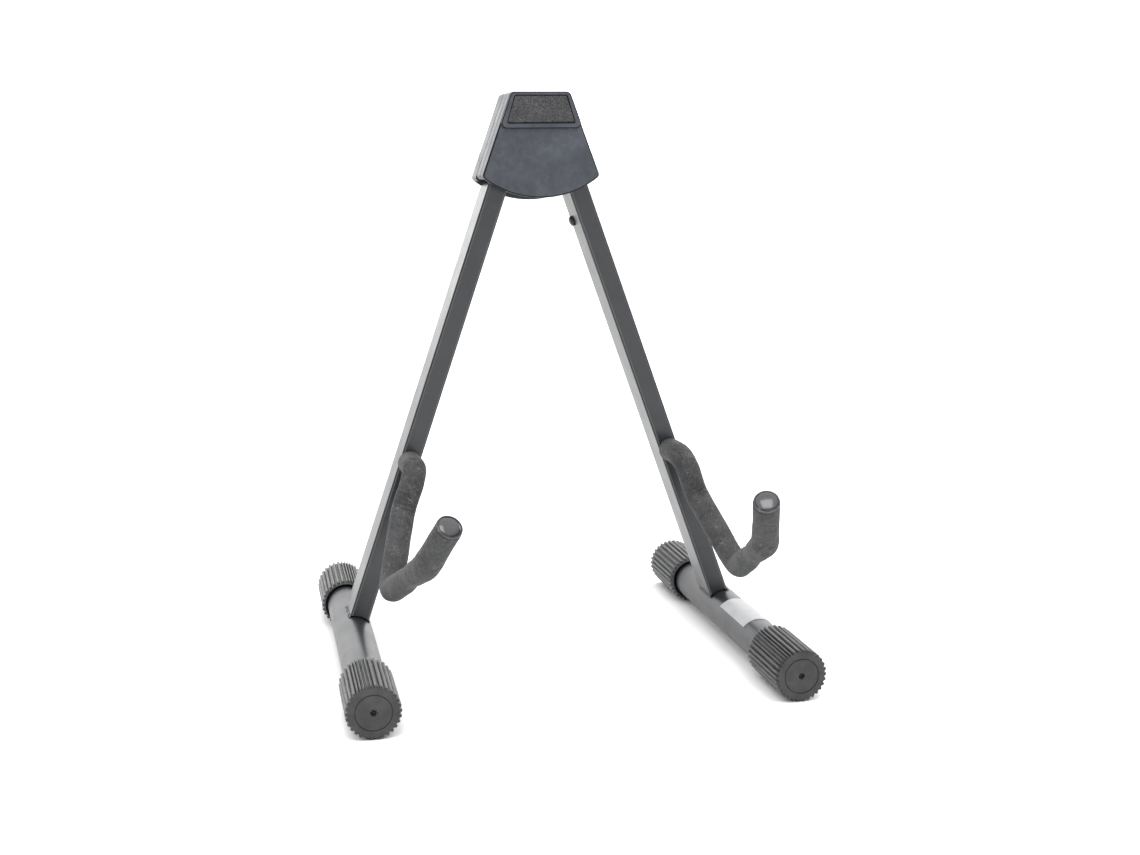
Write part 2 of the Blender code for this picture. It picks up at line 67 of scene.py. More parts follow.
# ---- driving dimensions -----------------------------------------------------------------------------------
LEAN, SPREAD, TOE_OUT = 1.9, 19.23, 1.0
FOOT_X, LEG_Y = 126.2, 46.9
LEG_W, LEG_D, LEG_WALL, LEG_CORNER = 12.8, 27.3, 1.2, 1.5
FOOT_R, FOOT_WALL, FOOT_FRONT, FOOT_BACK = 12.5, 1.5, 153.0, 108.0
CAP_R, CAP_ROOT_R, CAP_LENGTH, CAP_END = 16.4, 15.0, 52.0, 5.0
CAP_BORE_R, CAP_LIP_R, CAP_MOUTH_R = 12.65, 14.7, 14.0
RIB_PITCH, FINE_PITCH = 12.0, 7.2  # degrees that each rib takes; five fine ribs fill the room of three
FINE_RIBS, FINE_AFTER = 5, {-1: 12, 1: 10}  # fine ribs, and the wide ones before them from the bottom
RIB_TOP = 0.22  # half width of a rib's top in the CAD, as a share of its pitch
PIVOT_U, LEG_OVER = 331.0, 8.0
BOLT_R, BUSH_R, BUSH_BORE_R = 2.5, 4.0, 2.58
HEAD_TOP_U, HEAD_TOP_X, HEAD_LOW_U, HEAD_LOW_X = 346.2, 19.0, 293.6, 38.05
ARC_R, ARC_U_FRONT, ARC_U_REAR = 61.0, 280.0, 278.3
HEAD_REAR_N, SEAM_N, PLATE_N, BEZEL_N, BEZEL_U, HEAD_WALL = -15.8, 1.0, 24.5, 26.3, 323.2, 2.3
PAD_TOP, PAD_BOTTOM, RECESS_N, PAD_N = (16.4, 343.6), (21.9, 326.6), 23.6, 25.9
BOSS_R, BOSS_N, BOLT_HOLE_R = 6.6, 22.5, 2.75
POST_R, SCREW_HOLE_R = 3.5, 1.9
NUT_R, NUT_HOLE_R, NUT_LOW_N, NUT_HIGH_N = 4.6, 2.57, 19.4, 23.4
BUMPER_Y, BUMPER_T, BUMPER_R, BUMPER_HEIGHT = 7.0, 282.0, 3.4, 2.55
LABEL_START, LABEL_STOP, LABEL_FIRST, LABEL_LAST = 33.0, 78.5, -52, 80  # along the tube, and degrees round it
LABEL_THICK = 0.13
SCREW_U = 292.0
# corners of the arm's middle line as (n, along the leg), and the radius of each bend
ARM_PATH = [(14.4, 118.7), (47.1, 119.1), (44.2, 93.2), (87.8, 50.1), (168.7, 87.2), (196.4, 116.4)]
ARM_BENDS = [12.0, 13.2, 15.0, 11.5]
ARM_LONGER = {-1: -1.2, 1: 5.3}  # the right arm ends a little further on
ARM_OUT = 0.46  # each arm turns outwards on its leg
ROD_R, SLEEVE_R, SLEEVE_BORE_R = 3.0, 7.65, 3.35
TIP_R, TIP_HEIGHT = 7.45, 1.9

# ---- frames -----------------------------------------------------------------------------------------------
lean, spread, toe = math.radians(LEAN), math.radians(SPREAD), math.radians(TOE_OUT)
N = Vector((0, -math.cos(lean), math.sin(lean)))
U = Vector((0, math.sin(lean), math.cos(lean)))
FOOT_Z = CAP_R * math.cos(math.radians((0.5 - RIB_TOP) * RIB_PITCH))
ORIGIN = Vector((0, LEG_Y, FOOT_Z))


def basis(origin, x, y, z):
    """4x4 matrix with these columns, from millimetres to metres."""
    rows = Matrix((x, y, z)).transposed().to_4x4()
    return Matrix.Translation(Vector(origin) * MM) @ rows @ Matrix.Scale(MM, 4)


HEAD_FRAME = basis(ORIGIN, Vector((1, 0, 0)), U, N)


def leg_frame(side):
    up = U * math.cos(spread) - Vector((side * math.sin(spread), 0, 0))
    return basis(ORIGIN + Vector((side * FOOT_X, 0, 0)), (-N).cross(up), -N, up)


def foot_frame(side):
    """Z forward along the foot tube, Y up."""
    forward = Vector((side * math.sin(toe), -math.cos(toe), 0))
    up = Vector((0, 0, 1))
    return basis(ORIGIN + Vector((side * FOOT_X, 0, 0)), up.cross(forward), up, forward)


def arm_frame(side):
    """The leg's frame turned a little outwards, for the arm."""
    return leg_frame(side) @ Matrix.Rotation(side * math.radians(ARM_OUT), 4, "Z")


def along_n(x, u):
    """A frame whose Z runs along N, for what stands on the A-plane at (x, u)."""
    return HEAD_FRAME @ Matrix.Translation((x, u, 0))


PIVOT_T = PIVOT_U / math.cos(spread)
PIVOT_X = FOOT_X - PIVOT_T * math.sin(spread)


def pivot_frame(side):
    """Z along the hole that the leg turns on."""
    return leg_frame(side) @ Matrix.Translation((0, 0, PIVOT_T)) @ Matrix.Rotation(math.pi / 2, 4, "X")


# ---- mesh helpers -----------------------------------------------------------------------------------------
def lofted(rings, at, wrap=False):
    """A mesh through rings of points. Its ends are capped, or with wrap the last ring joins the first."""
    bm = bmesh.new()
    made = [[bm.verts.new(at @ Vector(p)) for p in ring] for ring in rings]
    pairs = list(zip(made, made[1:] + made[:1])) if wrap else list(zip(made, made[1:]))
    for low, high in pairs:
        for i in range(len(low)):
            j = (i + 1) % len(low)
            bm.faces.new((low[i], low[j], high[j], high[i]))
    if not wrap:
        bm.faces.new(made[0])
        bm.faces.new(made[-1])
    bmesh.ops.recalc_face_normals(bm, faces=bm.faces)
    mesh = bpy.data.meshes.new("loft")
    bm.to_mesh(mesh)
    bm.free()
    return mesh


def thing(name, mesh):
    made = bpy.data.objects.new(name, mesh)
    bpy.context.scene.collection.objects.link(made)
    return made


def combined(target, steps):
    """Joins these meshes to the object, or cuts them from it, and keeps the result as its mesh."""
    helpers = []
    for operation, mesh in steps:
        helper = thing("helper", mesh)
        helpers.append(helper)
        step = target.modifiers.new("step", "BOOLEAN")
        step.operation, step.solver, step.object = operation, "EXACT", helper
    graph = bpy.context.evaluated_depsgraph_get()
    result = bpy.data.meshes.new_from_object(target.evaluated_get(graph))
    target.modifiers.clear()
    target.data = result
    for helper in helpers:
        bpy.data.objects.remove(helper, do_unlink=True)


def finished(made, name, body, slot, node=None, sharp=34, soften=0.0, paint=None):
    """Names, shades and paints a piece, and ties it to its body and CAD node."""
    made.name = name
    mesh = made.data
    mesh.name = name
    mesh.materials.clear()
    mesh.materials.append(MATERIALS[paint or slot])
    mesh.shade_smooth()
    mesh.set_sharp_from_angle(angle=math.radians(sharp))
    if soften:
        bevel = made.modifiers.new("soft edges", "BEVEL")
        bevel.width, bevel.segments = soften * MM, 2
        bevel.limit_method, bevel.angle_limit = "ANGLE", math.radians(sharp)
        bevel.use_clamp_overlap, bevel.harden_normals = True, True
    normals = made.modifiers.new("even shading", "WEIGHTED_NORMAL")
    normals.keep_sharp = True
    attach(made, body)
    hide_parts(node or name)
    return made


def circle(radius, z, sides, phase=0.0):
    turns = [2 * math.pi * (i + phase) / sides for i in range(sides)]
    return [(radius * math.cos(a), radius * math.sin(a), z) for a in turns]


def turned(profile, sides):
    """Rings from a lathe profile of (radius, z)."""
    return [circle(radius, z, sides) for radius, z in profile]


def quarter(r0, z0, r1, z1, steps=5, bulge_first=True):
    """Profile points round a quarter ellipse from (r0, z0) to (r1, z1), without its first point."""
    points = []
    for k in range(1, steps + 1):
        a = math.pi / 2 * k / steps
        s, c = math.sin(a), 1 - math.cos(a)
        p, q = (c, s) if bulge_first else (s, c)
        points.append((r0 + (r1 - r0) * p, z0 + (z1 - z0) * q))
    return points


def flat(points, z):
    return [(x, y, z) for x, y in points]


def rounded(corners, steps=6):
    """A closed outline through (x, y, radius) corners."""
    outline = []
    for i, (x, y, radius) in enumerate(corners):
        here = Vector((x, y))
        if not radius:
            outline.append((x, y))
            continue
        before = (Vector(corners[i - 1][:2]) - here).normalized()
        after = (Vector(corners[(i + 1) % len(corners)][:2]) - here).normalized()
        half = before.angle(after) / 2
        centre = here + (before + after).normalized() * radius / math.sin(half)
        start = here + before * radius / math.tan(half) - centre
        turn = math.atan2(*(centre - here).yx)
        sweep = math.pi / 2 - half
        way = 1 if start.cross(here - centre) > 0 else -1
        for k in range(steps + 1):
            angle = turn + math.pi + way * sweep * (2 * k / steps - 1)
            outline.append((centre.x + radius * math.cos(angle), centre.y + radius * math.sin(angle)))
    return outline


def rumple(seed, point, scale, octaves=2):
    """Smooth noise from -1 to 1 at a point in millimetres, its lumps about this many millimetres across."""
    at = Vector(point) / scale + Vector((seed * 17.3, seed * 5.1, seed * 9.7))
    return noise.fractal(at, 1.0, 2.0, octaves)


# ---- materials --------------------------------------------------------------------------------------------
class Graph:
    """A node material whose textures use the object's own coordinates."""

    def __init__(self, name, **sockets):
        self.made = bpy.data.materials.new(name)
        self.made.use_nodes = True
        self.nodes, self.links = self.made.node_tree.nodes, self.made.node_tree.links
        self.shader = self.nodes["Principled BSDF"]
        coordinates = self.nodes.new("ShaderNodeTexCoord").outputs
        self.place, self.turned = coordinates["Object"], coordinates["Normal"]
        for socket, value in sockets.items():
            self.shader.inputs[socket.replace("_", " ")].default_value = value

    def join(self, source, target):
        self.links.new(source, target)

    def noise(self, size, detail=4.0, roughness=0.55, distortion=0.0):
        """Noise whose lumps are about this many millimetres across."""
        node = self.nodes.new("ShaderNodeTexNoise")
        node.inputs["Scale"].default_value = 1 / (size * MM)
        node.inputs["Detail"].default_value = detail
        node.inputs["Roughness"].default_value = roughness
        node.inputs["Distortion"].default_value = distortion
        self.join(self.place, node.inputs["Vector"])
        return node.outputs["Fac"]

    def cells(self, size, feature="F1"):
        node = self.nodes.new("ShaderNodeTexVoronoi")
        node.feature = feature
        node.inputs["Scale"].default_value = 1 / (size * MM)
        self.join(self.place, node.inputs["Vector"])
        return node.outputs["Distance"]

    def attribute(self, name):
        node = self.nodes.new("ShaderNodeAttribute")
        node.attribute_name = name
        return node.outputs["Fac"]

    def facing(self, direction, stops):
        """A grey ramp on how nearly the surface faces this way."""
        node = self.nodes.new("ShaderNodeVectorMath")
        node.operation = "DOT_PRODUCT"
        self.join(self.turned, node.inputs[0])
        node.inputs[1].default_value = direction
        return self.ramp(node.outputs["Value"], stops)

    def ramp(self, source, stops, smooth=True):
        """Colours or greys along a factor."""
        node = self.nodes.new("ShaderNodeValToRGB")
        node.color_ramp.interpolation = "EASE" if smooth else "LINEAR"
        elements = node.color_ramp.elements
        while len(elements) < len(stops):
            elements.new(0.5)
        for element, (position, colour) in zip(elements, stops):
            element.position = position
            element.color = (*colour, 1) if isinstance(colour, tuple) else (colour, colour, colour, 1)
        self.join(source, node.inputs["Fac"])
        return node.outputs["Color"]

    def mix(self, a, b, factor, how="MIX"):
        node = self.nodes.new("ShaderNodeMix")
        node.data_type, node.blend_type = "RGBA", how
        for socket, value in (("A", a), ("B", b)):
            target = next(i for i in node.inputs if i.name == socket and i.type == "RGBA")
            if isinstance(value, tuple):
                target.default_value = (*value, 1)
            else:
                self.join(value, target)
        target = next(i for i in node.inputs if i.name == "Factor" and i.type == "VALUE")
        if isinstance(factor, float):
            target.default_value = factor
        else:
            self.join(factor, target)
        return next(o for o in node.outputs if o.type == "RGBA")

    def colour(self, source):
        self.join(source, self.shader.inputs["Base Color"])

    def roughness(self, source, low, high):
        node = self.nodes.new("ShaderNodeMapRange")
        node.inputs["From Min"].default_value, node.inputs["From Max"].default_value = 0.3, 0.7
        node.inputs["To Min"].default_value, node.inputs["To Max"].default_value = low, high
        self.join(source, node.inputs["Value"])
        self.join(node.outputs["Result"], self.shader.inputs["Roughness"])

    def bump(self, *layers):
        """Bump layers of (height, depth in millimetres), finest last."""
        last = None
        for height, depth in layers:
            node = self.nodes.new("ShaderNodeBump")
            node.inputs["Strength"].default_value = 1.0
            node.inputs["Distance"].default_value = depth * MM
            self.join(height, node.inputs["Height"])
            if last:
                self.join(last, node.inputs["Normal"])
            last = node.outputs["Normal"]
        self.join(last, self.shader.inputs["Normal"])


FRONT = (0.0, -1.0, 0.0)
EDGE_SHADE_STOPS = [(0.25, 0.0), (0.35, 1.0), (0.94, 1.0), (0.975, 0.0)]  # painted shade on the rounded edges of front faces


def powder_black(name="powder_black", smooth=0.27, dull=0.33):
    """Satin black powder coat: fine orange peel, a few lighter specks, painted shade on the rounded edges and
    a thin painted highlight line where they meet the front faces.
    """
    g = Graph(name, IOR=1.5, Specular_IOR_Level=0.62)
    cloud = g.noise(26, 3)
    base = g.ramp(cloud, [(0.3, (0.0095, 0.0110, 0.0140)), (0.7, (0.0135, 0.0155, 0.0190))])
    specks = g.ramp(g.noise(0.9, 2, 0.4), [(0.70, 0.0), (0.78, 1.0)])
    coat = g.mix(base, (0.035, 0.035, 0.038), specks)
    # Painted shade: the rounded edges that turn away from the front are darkened.
    coat = g.mix(coat, (0.001, 0.001, 0.001), g.facing(FRONT, EDGE_SHADE_STOPS))
    # Painted highlight: a thin light line where the rounded edges meet the front faces.
    painted_highlight_line = g.facing(FRONT, [(0.965, 0.0), (0.975, 0.6), (0.99, 0.6), (0.998, 0.0)])
    g.colour(g.mix(coat, (0.16, 0.16, 0.165), painted_highlight_line))
    g.roughness(g.noise(14, 4), smooth, dull)
    g.bump((g.noise(4.5, 2, 0.4), 0.012), (g.noise(0.7, 2, 0.5), 0.004))
    return g.made


def duller_black():
    """The same coat with less gloss, on the foot tubes."""
    return powder_black("duller_black", 0.35, 0.41)


def head_plastic():
    """Moulded plastic with a bluish cast, blotchy sheen, faint flow marks and painted shade on the rounded
    edges.
    """
    g = Graph("head_plastic", IOR=1.46, Specular_IOR_Level=0.22)
    blotch = g.noise(24, 3, 0.5, 0.4)
    base = g.ramp(blotch, [
        (0.36, (0.048, 0.052, 0.061)), (0.50, (0.054, 0.058, 0.069)), (0.64, (0.062, 0.067, 0.080)),
    ])
    streak = g.ramp(g.noise(5, 2, 0.5, 0.8), [(0.40, (0.92, 0.92, 0.92)), (0.62, (1.07, 1.07, 1.07))])
    tone = g.mix(base, streak, 1.0, "MULTIPLY")
    # Painted shade on the rounded edges that turn away from the front.
    g.colour(g.mix(tone, (0.001, 0.001, 0.001), g.facing(FRONT, EDGE_SHADE_STOPS)))
    g.roughness(blotch, 0.44, 0.32)
    g.bump((g.noise(16, 2, 0.4), 0.06), (g.noise(0.8, 3, 0.6), 0.010))
    return g.made


def pad_rubber():
    """Pebbled rubber, lighter on the worn pebble tops, with painted shade in the hollows between them."""
    g = Graph("pad_rubber", IOR=1.5, Specular_IOR_Level=0.4)
    pebble = g.cells(0.75, "SMOOTH_F1")
    # Lighter on the pebble tops as wear, darker in the hollows as painted shade.
    worn_tops_hollow_shade = g.ramp(pebble, [(0.10, (0.074, 0.074, 0.077)), (0.55, (0.028, 0.028, 0.030))])
    dust = g.ramp(g.noise(5, 4), [(0.35, (0.85, 0.85, 0.85)), (0.70, (1.18, 1.18, 1.17))])
    g.colour(g.mix(worn_tops_hollow_shade, dust, 1.0, "MULTIPLY"))
    g.roughness(g.noise(1.2, 3), 0.62, 0.85)
    low = g.ramp(pebble, [(0.0, 1.0), (0.8, 0.0)])
    g.bump((low, 0.16), (g.noise(0.25, 3, 0.6), 0.03))
    return g.made


def cap_rubber():
    """Dark grey rubber, slightly chalky, with a fine moulded texture, small scuffs and painted shade in the
    grooves.
    """
    g = Graph("cap_rubber", IOR=1.5, Specular_IOR_Level=0.28, Sheen_Weight=0.02, Sheen_Roughness=0.45)
    base = g.ramp(g.noise(8, 4), [(0.32, (0.030, 0.030, 0.031)), (0.68, (0.044, 0.044, 0.045))])
    scuff = g.ramp(g.noise(1.6, 5, 0.65, 1.2), [(0.62, 0.0), (0.74, 0.65)])
    skin = g.mix(base, (0.085, 0.085, 0.084), scuff)
    # Painted shade: darkened where the groove attribute marks the grooves between the ribs, the thin ring and
    # the gate's hole.
    g.colour(g.mix(skin, (0.002, 0.002, 0.002), g.attribute("groove")))
    g.roughness(g.noise(3, 4), 0.30, 0.44)
    g.bump((g.noise(1.7, 3, 0.55), 0.03), (g.noise(0.35, 3, 0.6), 0.012))
    return g.made


def sleeve_foam():
    """Closed-cell foam tube: matt skin, fine pores, faint lighter crinkles and painted shade along short
    crease lines.
    """
    g = Graph("sleeve_foam", IOR=1.45, Specular_IOR_Level=0.30, Sheen_Weight=0.02, Sheen_Roughness=0.5)
    base = g.ramp(g.noise(11, 4, 0.6, 0.4), [(0.33, (0.027, 0.0272, 0.028)), (0.67, (0.044, 0.0443, 0.046))])
    crinkle = g.ramp(g.cells(2.4, "DISTANCE_TO_EDGE"), [(0.0, 0.65), (0.07, 0.0)])
    where = g.ramp(g.noise(7, 3, 0.6), [(0.52, 0.0), (0.68, 1.0)])
    marks = g.mix((0.0, 0.0, 0.0), crinkle, where)
    pores = g.ramp(g.noise(0.45, 2, 0.5), [(0.30, (0.70, 0.70, 0.70)), (0.50, (1.04, 1.04, 1.04))])
    skin = g.mix(base, (0.160, 0.160, 0.162), marks)
    fibre = g.ramp(g.noise(0.9, 4, 0.7, 2.5), [(0.55, 0.0), (0.66, 0.9)])
    skin = g.mix(skin, (0.150, 0.150, 0.153), fibre)
    # Painted shade along the creases that the groove attribute marks.
    skin = g.mix(skin, (0.012, 0.012, 0.012), g.attribute("groove"))
    g.colour(g.mix(skin, pores, 1.0, "MULTIPLY"))
    g.roughness(g.noise(2, 3), 0.66, 0.84)
    g.bump((g.noise(3.2, 4, 0.6, 0.5), 0.16), (marks, 0.05), (g.noise(0.45, 3, 0.6), 0.05))
    return g.made


def tip_plastic():
    """Glossy black plastic with hairline rub marks."""
    g = Graph("tip_plastic", IOR=1.52, Specular_IOR_Level=0.5, Coat_Weight=0.25, Coat_Roughness=0.08)
    g.colour(g.ramp(g.noise(3, 4), [(0.3, (0.012, 0.013, 0.016)), (0.7, (0.024, 0.025, 0.029))]))
    g.roughness(g.noise(1.5, 5, 0.65), 0.12, 0.22)
    g.bump((g.noise(4, 2), 0.06), (g.noise(0.5, 3), 0.006))
    return g.made


def zinc_steel():
    """Bright zinc plate with uneven tone and fine lines."""
    g = Graph("zinc_steel", Metallic=1.0, Anisotropic=0.2)
    g.colour(g.ramp(g.noise(2.5, 4, 0.6), [(0.3, (0.42, 0.43, 0.46)), (0.7, (0.62, 0.62, 0.60))]))
    g.roughness(g.noise(1.1, 4), 0.24, 0.42)
    g.bump((g.noise(0.9, 4, 0.6), 0.012),)
    return g.made


def nylon():
    """Natural nylon, a little translucent, with tool marks."""
    g = Graph("nylon", IOR=1.53, Subsurface_Weight=0.15, Subsurface_Scale=0.002)
    g.colour(g.ramp(g.noise(3, 3), [(0.3, (0.60, 0.585, 0.54)), (0.7, (0.72, 0.71, 0.67))]))
    g.roughness(g.noise(1, 3), 0.38, 0.55)
    g.bump((g.noise(0.6, 3), 0.015),)
    return g.made


def label_paper():
    """Coated label paper with soft fibre mottle and slightly greyed patches."""
    g = Graph("label_paper", IOR=1.45, Specular_IOR_Level=0.35)
    base = g.ramp(g.noise(6, 5, 0.6), [(0.3, (0.36, 0.365, 0.375)), (0.7, (0.40, 0.405, 0.415))])
    fibre = g.ramp(g.noise(0.5, 4, 0.7, 2.0), [(0.3, (0.93, 0.93, 0.93)), (0.6, (1.0, 1.0, 1.0))])
    g.colour(g.mix(base, fibre, 1.0, "MULTIPLY"))
    g.roughness(g.noise(2, 3), 0.42, 0.58)
    g.bump((g.noise(5, 2), 0.05), (g.noise(0.35, 4, 0.7), 0.008))
    return g.made


def floor_pale():
    g = Graph("floor_pale", IOR=1.4, Specular_IOR_Level=0.2)
    g.colour(g.ramp(g.noise(900, 3), [(0.3, (0.91, 0.91, 0.91)), (0.7, (0.92, 0.92, 0.92))]))
    g.roughness(g.noise(120, 3), 0.75, 0.85)
    return g.made


MATERIALS = {make.__name__: make() for make in (
    powder_black, duller_black, head_plastic, pad_rubber, cap_rubber,
    sleeve_foam, tip_plastic, zinc_steel, nylon, label_paper,
)}


# ---- the head ---------------------------------------------------------------------------------------------
EDGE = (HEAD_LOW_X - HEAD_TOP_X) / (HEAD_LOW_U - HEAD_TOP_U)
SLANT = math.hypot(1, EDGE)
SHELL_SOFT, BEZEL_SOFT, SEAM_SOFT = 1.3, 0.9, 0.35


def head_side(u, inset=0.0):
    return HEAD_TOP_X + EDGE * (u - HEAD_TOP_U) - inset * SLANT


def head_outline(inset, arc_u, corner=3.6, arc_points=40):
    """The head from the front: straight flaring sides, flat top, rounded bottom edge."""
    centre_u, radius = arc_u + ARC_R, ARC_R - inset
    top = HEAD_TOP_U - inset
    low, high = arc_u, HEAD_TOP_U
    for _ in range(50):
        u = (low + high) / 2
        outside = math.hypot(head_side(u, inset), u - centre_u) > radius
        low, high = (u, high) if outside else (low, u)
    end = math.atan2(head_side(low, inset), centre_u - low)
    soft = max(corner - inset, 0.5)
    corners = [(head_side(top, inset), top, soft), (head_side(low, inset), low, soft * 0.8)]
    for k in range(1, arc_points):
        angle = end * (1 - 2 * k / arc_points)
        corners.append((radius * math.sin(angle), centre_u - radius * math.cos(angle), 0))
    corners += [(-head_side(low, inset), low, soft * 0.8), (-head_side(top, inset), top, soft)]
    return rounded(corners, 7)


def side_trapezoid(inset, low_u, high_u, radius=0.0):
    return rounded([
        (head_side(high_u, inset), high_u, radius), (head_side(low_u, inset), low_u, radius),
        (-head_side(low_u, inset), low_u, radius), (-head_side(high_u, inset), high_u, radius),
    ])


def pad_outline(grow, radius):
    (x1, u1), (x0, u0) = PAD_TOP, PAD_BOTTOM
    return rounded([
        (x1 + grow, u1 + grow, radius), (x0 + grow, u0 - grow, radius),
        (-x0 - grow, u0 - grow, radius), (-x1 - grow, u1 + grow, radius),
    ])


def soft_face(outline, face_n, inward, soft):
    """Rings that round an extruded outline off at its face."""
    profile = [(0.0, soft)] + quarter(0.0, soft, soft, 0.0, 6)
    return [flat(outline(d), face_n + inward * z) for d, z in profile]


def seam_rings(arc_u, n, inward):
    """Rings that leave a small groove where the two shells meet."""
    lip = SEAM_SOFT + 0.25
    return [flat(head_outline(lip, arc_u), n), flat(head_outline(lip, arc_u), n + inward * 0.15),
            flat(head_outline(SEAM_SOFT * 0.3, arc_u), n + inward * 0.35),
            flat(head_outline(0, arc_u), n + inward * 0.8)]


HOLLOW = side_trapezoid(HEAD_WALL, 262, HEAD_TOP_U - 2.9)


def front_shell():
    rings = seam_rings(ARC_U_FRONT, SEAM_N + 0.3, 1)
    side_groove = ((0, 13.4), (0.35, 13.7), (0.35, 14.1), (0, 14.4))
    rings += [flat(head_outline(d, ARC_U_FRONT), n) for d, n in side_groove]
    rings += soft_face(lambda d: head_outline(d, ARC_U_FRONT), PLATE_N, -1, SHELL_SOFT)
    shell = thing("head_front", lofted(rings, HEAD_FRAME))

    def bezel(d):
        return side_trapezoid(0.25 + d, BEZEL_U + d, HEAD_TOP_U - 0.25 - d, 3.3)

    rings = [flat(bezel(0), PLATE_N - 4)] + soft_face(bezel, BEZEL_N, -1, BEZEL_SOFT)
    recess = [flat(pad_outline(0.45, 1.2), z) for z in (RECESS_N, 30)]
    steps = [("UNION", lofted(rings, HEAD_FRAME)),
             ("DIFFERENCE", lofted([flat(HOLLOW, -2), flat(HOLLOW, PLATE_N - 3)], HEAD_FRAME)),
             ("DIFFERENCE", lofted(recess, HEAD_FRAME))]
    for side, _ in SIDES:
        at = along_n(side * PIVOT_X, PIVOT_U)
        steps += [("UNION", lofted(turned([(BOSS_R, LEG_D / 2 + 0.35), (BOSS_R, BOSS_N)], 48), at)),
                  ("DIFFERENCE", lofted(turned([(BOLT_HOLE_R, 10), (BOLT_HOLE_R, 30)], 32), at)),
                  ("DIFFERENCE", lofted([circle(NUT_R + 0.25, z, 6) for z in (19.3, 30)], at))]
    post = along_n(0, SCREW_U)
    steps += [("UNION", lofted(turned([(POST_R, -8.0), (POST_R, BOSS_N)], 40), post)),
              ("DIFFERENCE", lofted(turned([(1.6, -12), (1.6, 8)], 24), post))]
    combined(shell, steps)
    return finished(shell, "head_front", "head", "head_plastic", "head_front_shell")


def rear_shell():
    rings = soft_face(lambda d: head_outline(d, ARC_U_REAR), HEAD_REAR_N, 1, SHELL_SOFT)[::-1]
    rings += seam_rings(ARC_U_REAR, SEAM_N, -1)[::-1]
    shell = thing("head_rear", lofted(rings, HEAD_FRAME))
    steps = [("DIFFERENCE", lofted([flat(HOLLOW, HEAD_REAR_N + 1.9), flat(HOLLOW, 5)], HEAD_FRAME))]
    for side, _ in SIDES:
        out = [FOOT_X - u * math.tan(spread) + (LEG_W / 2 + 0.3) / math.cos(spread) for u in (298, 316)]
        rib = [(side * out[0], 298), (side * out[1], 316),
               (side * head_side(316, 1.2), 316), (side * head_side(298, 1.2), 298)]
        at = along_n(side * PIVOT_X, PIVOT_U)
        steps += [("UNION", lofted([flat(rib, HEAD_REAR_N + 1.0), flat(rib, SEAM_N - 0.4)], HEAD_FRAME)),
                  ("DIFFERENCE", lofted(turned([(BOLT_HOLE_R, -20), (BOLT_HOLE_R, -10)], 32), at))]
    post = along_n(0, SCREW_U)
    steps += [("UNION", lofted(turned([(POST_R, -15.0), (POST_R, -8.3)], 40), post)),
              ("DIFFERENCE", lofted(turned([(SCREW_HOLE_R, -20), (SCREW_HOLE_R, -5)], 24), post))]
    combined(shell, steps)
    return finished(shell, "head_rear", "head", "head_plastic", "head_rear_shell")


def pad():
    """The rubber pad, its top a fine grid pushed up and down into pebbles."""
    (x1, u1), (x0, u0) = PAD_TOP, PAD_BOTTOM
    u0 += 0.35
    across, up, border, height = 150, 60, 0.8, PAD_N - RECESS_N - 0.1
    bm = bmesh.new()
    grid = []
    for j in range(up + 1):
        v = j / up
        row = []
        for i in range(across + 1):
            s = 2 * i / across - 1
            u = u0 + (u1 - u0) * v
            x = s * (x0 + (x1 - x0) * v)
            inside = min((1 - abs(s)) * x0, v * (u1 - u0), (1 - v) * (u1 - u0)) / border
            edge = min(inside, 1.0)
            drop = 0.5 * (1 - math.sqrt(max(0.0, 1 - (1 - edge) ** 2)))
            pebble = rumple(3, (x, u, 0), 0.55, 1) * 0.10 + rumple(4, (x, u, 5), 0.28, 1) * 0.04
            row.append(bm.verts.new(HEAD_FRAME @ Vector((x, u, PAD_N - drop + pebble * edge))))
        grid.append(row)
    for j in range(up):
        for i in range(across):
            bm.faces.new((grid[j][i], grid[j][i + 1], grid[j + 1][i + 1], grid[j + 1][i]))
    rim = grid[0] + [row[-1] for row in grid[1:]] + grid[-1][-2::-1] + [row[0] for row in grid[-2:0:-1]]
    inverse = HEAD_FRAME.inverted()
    under = []
    for vert in rim:
        p = inverse @ vert.co
        under.append(bm.verts.new(HEAD_FRAME @ Vector((p.x, p.y, PAD_N - height))))
    for i in range(len(rim)):
        j = (i + 1) % len(rim)
        bm.faces.new((rim[j], rim[i], under[i], under[j]))
    bm.faces.new(under)
    bmesh.ops.recalc_face_normals(bm, faces=bm.faces)
    mesh = bpy.data.meshes.new("pad")
    bm.to_mesh(mesh)
    bm.free()
    return finished(thing("pad", mesh), "rubber_pad", "head", "pad_rubber", "head_pad", sharp=60)


